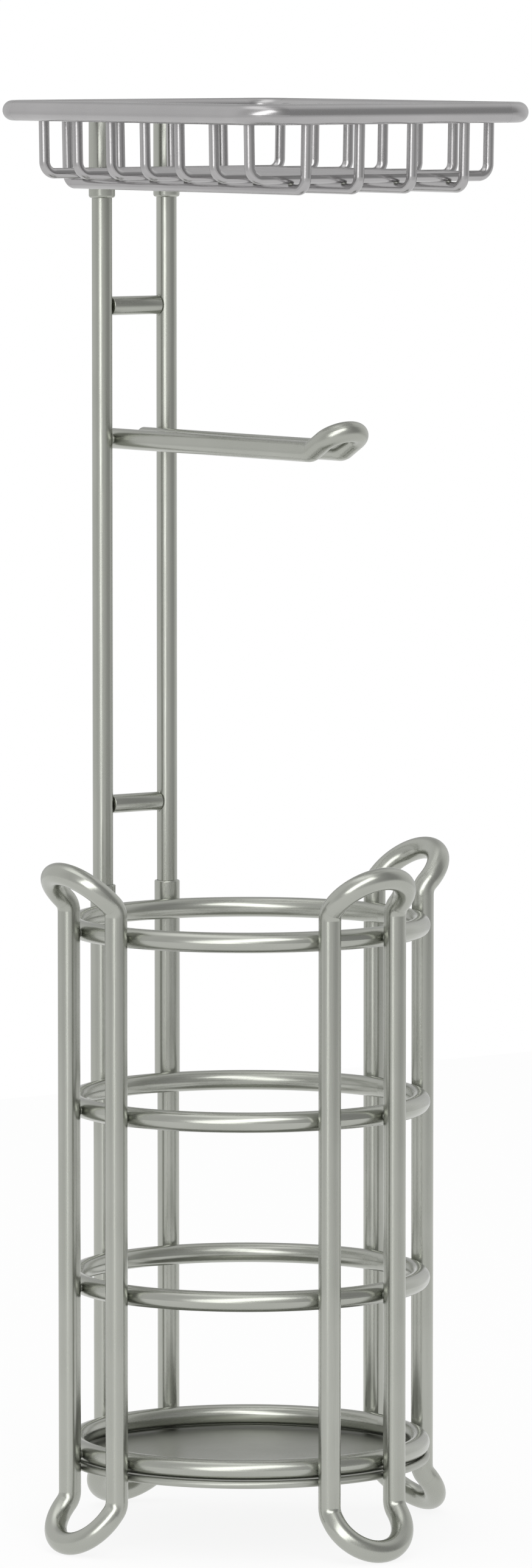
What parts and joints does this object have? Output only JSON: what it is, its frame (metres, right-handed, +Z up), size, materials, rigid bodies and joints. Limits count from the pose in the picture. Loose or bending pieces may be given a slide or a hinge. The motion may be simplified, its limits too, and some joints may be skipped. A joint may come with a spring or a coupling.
{
  "type": "toilet paper holder",
  "caption": "Free-standing bent-tube toilet paper holder with a ringed well for spare rolls, an upturned roll arm and a wire tray on top.",
  "frame": {"origin": "on the floor, on the middle axis of the four rings of the spare roll well", "axes": "+Z up; -Y to the front, the way the roll arm points; +X to the right as seen by someone in front of the stand"},
  "size_m": [0.237, 0.2422, 0.7119],
  "materials": {
    "satin_nickel": "satin nickel plate",
    "satin_nickel_wire": "satin nickel plate"
  },
  "bodies": {
    "root": {"left_leg": "satin_nickel", "front_leg": "satin_nickel", "right_leg": "satin_nickel", "back_foot": "satin_nickel", "base_ring": "satin_nickel", "lower_ring": "satin_nickel", "middle_ring": "satin_nickel", "top_ring": "satin_nickel", "base_plate": "satin_nickel", "left_sleeve": "satin_nickel", "right_sleeve": "satin_nickel", "left_post": "satin_nickel", "right_post": "satin_nickel", "lower_bar": "satin_nickel", "upper_bar": "satin_nickel", "roll_arm": "satin_nickel", "left_socket": "satin_nickel", "right_socket": "satin_nickel", "tray_rim": "satin_nickel_wire", "long_wire_1": "satin_nickel_wire", "long_wire_2": "satin_nickel_wire", "long_wire_3": "satin_nickel_wire", "long_wire_4": "satin_nickel_wire", "cross_wire_1": "satin_nickel_wire", "cross_wire_2": "satin_nickel_wire", "cross_wire_3": "satin_nickel_wire", "cross_wire_4": "satin_nickel_wire", "cross_wire_5": "satin_nickel_wire", "cross_wire_6": "satin_nickel_wire", "cross_wire_7": "satin_nickel_wire"}
  },
  "joints": []
}
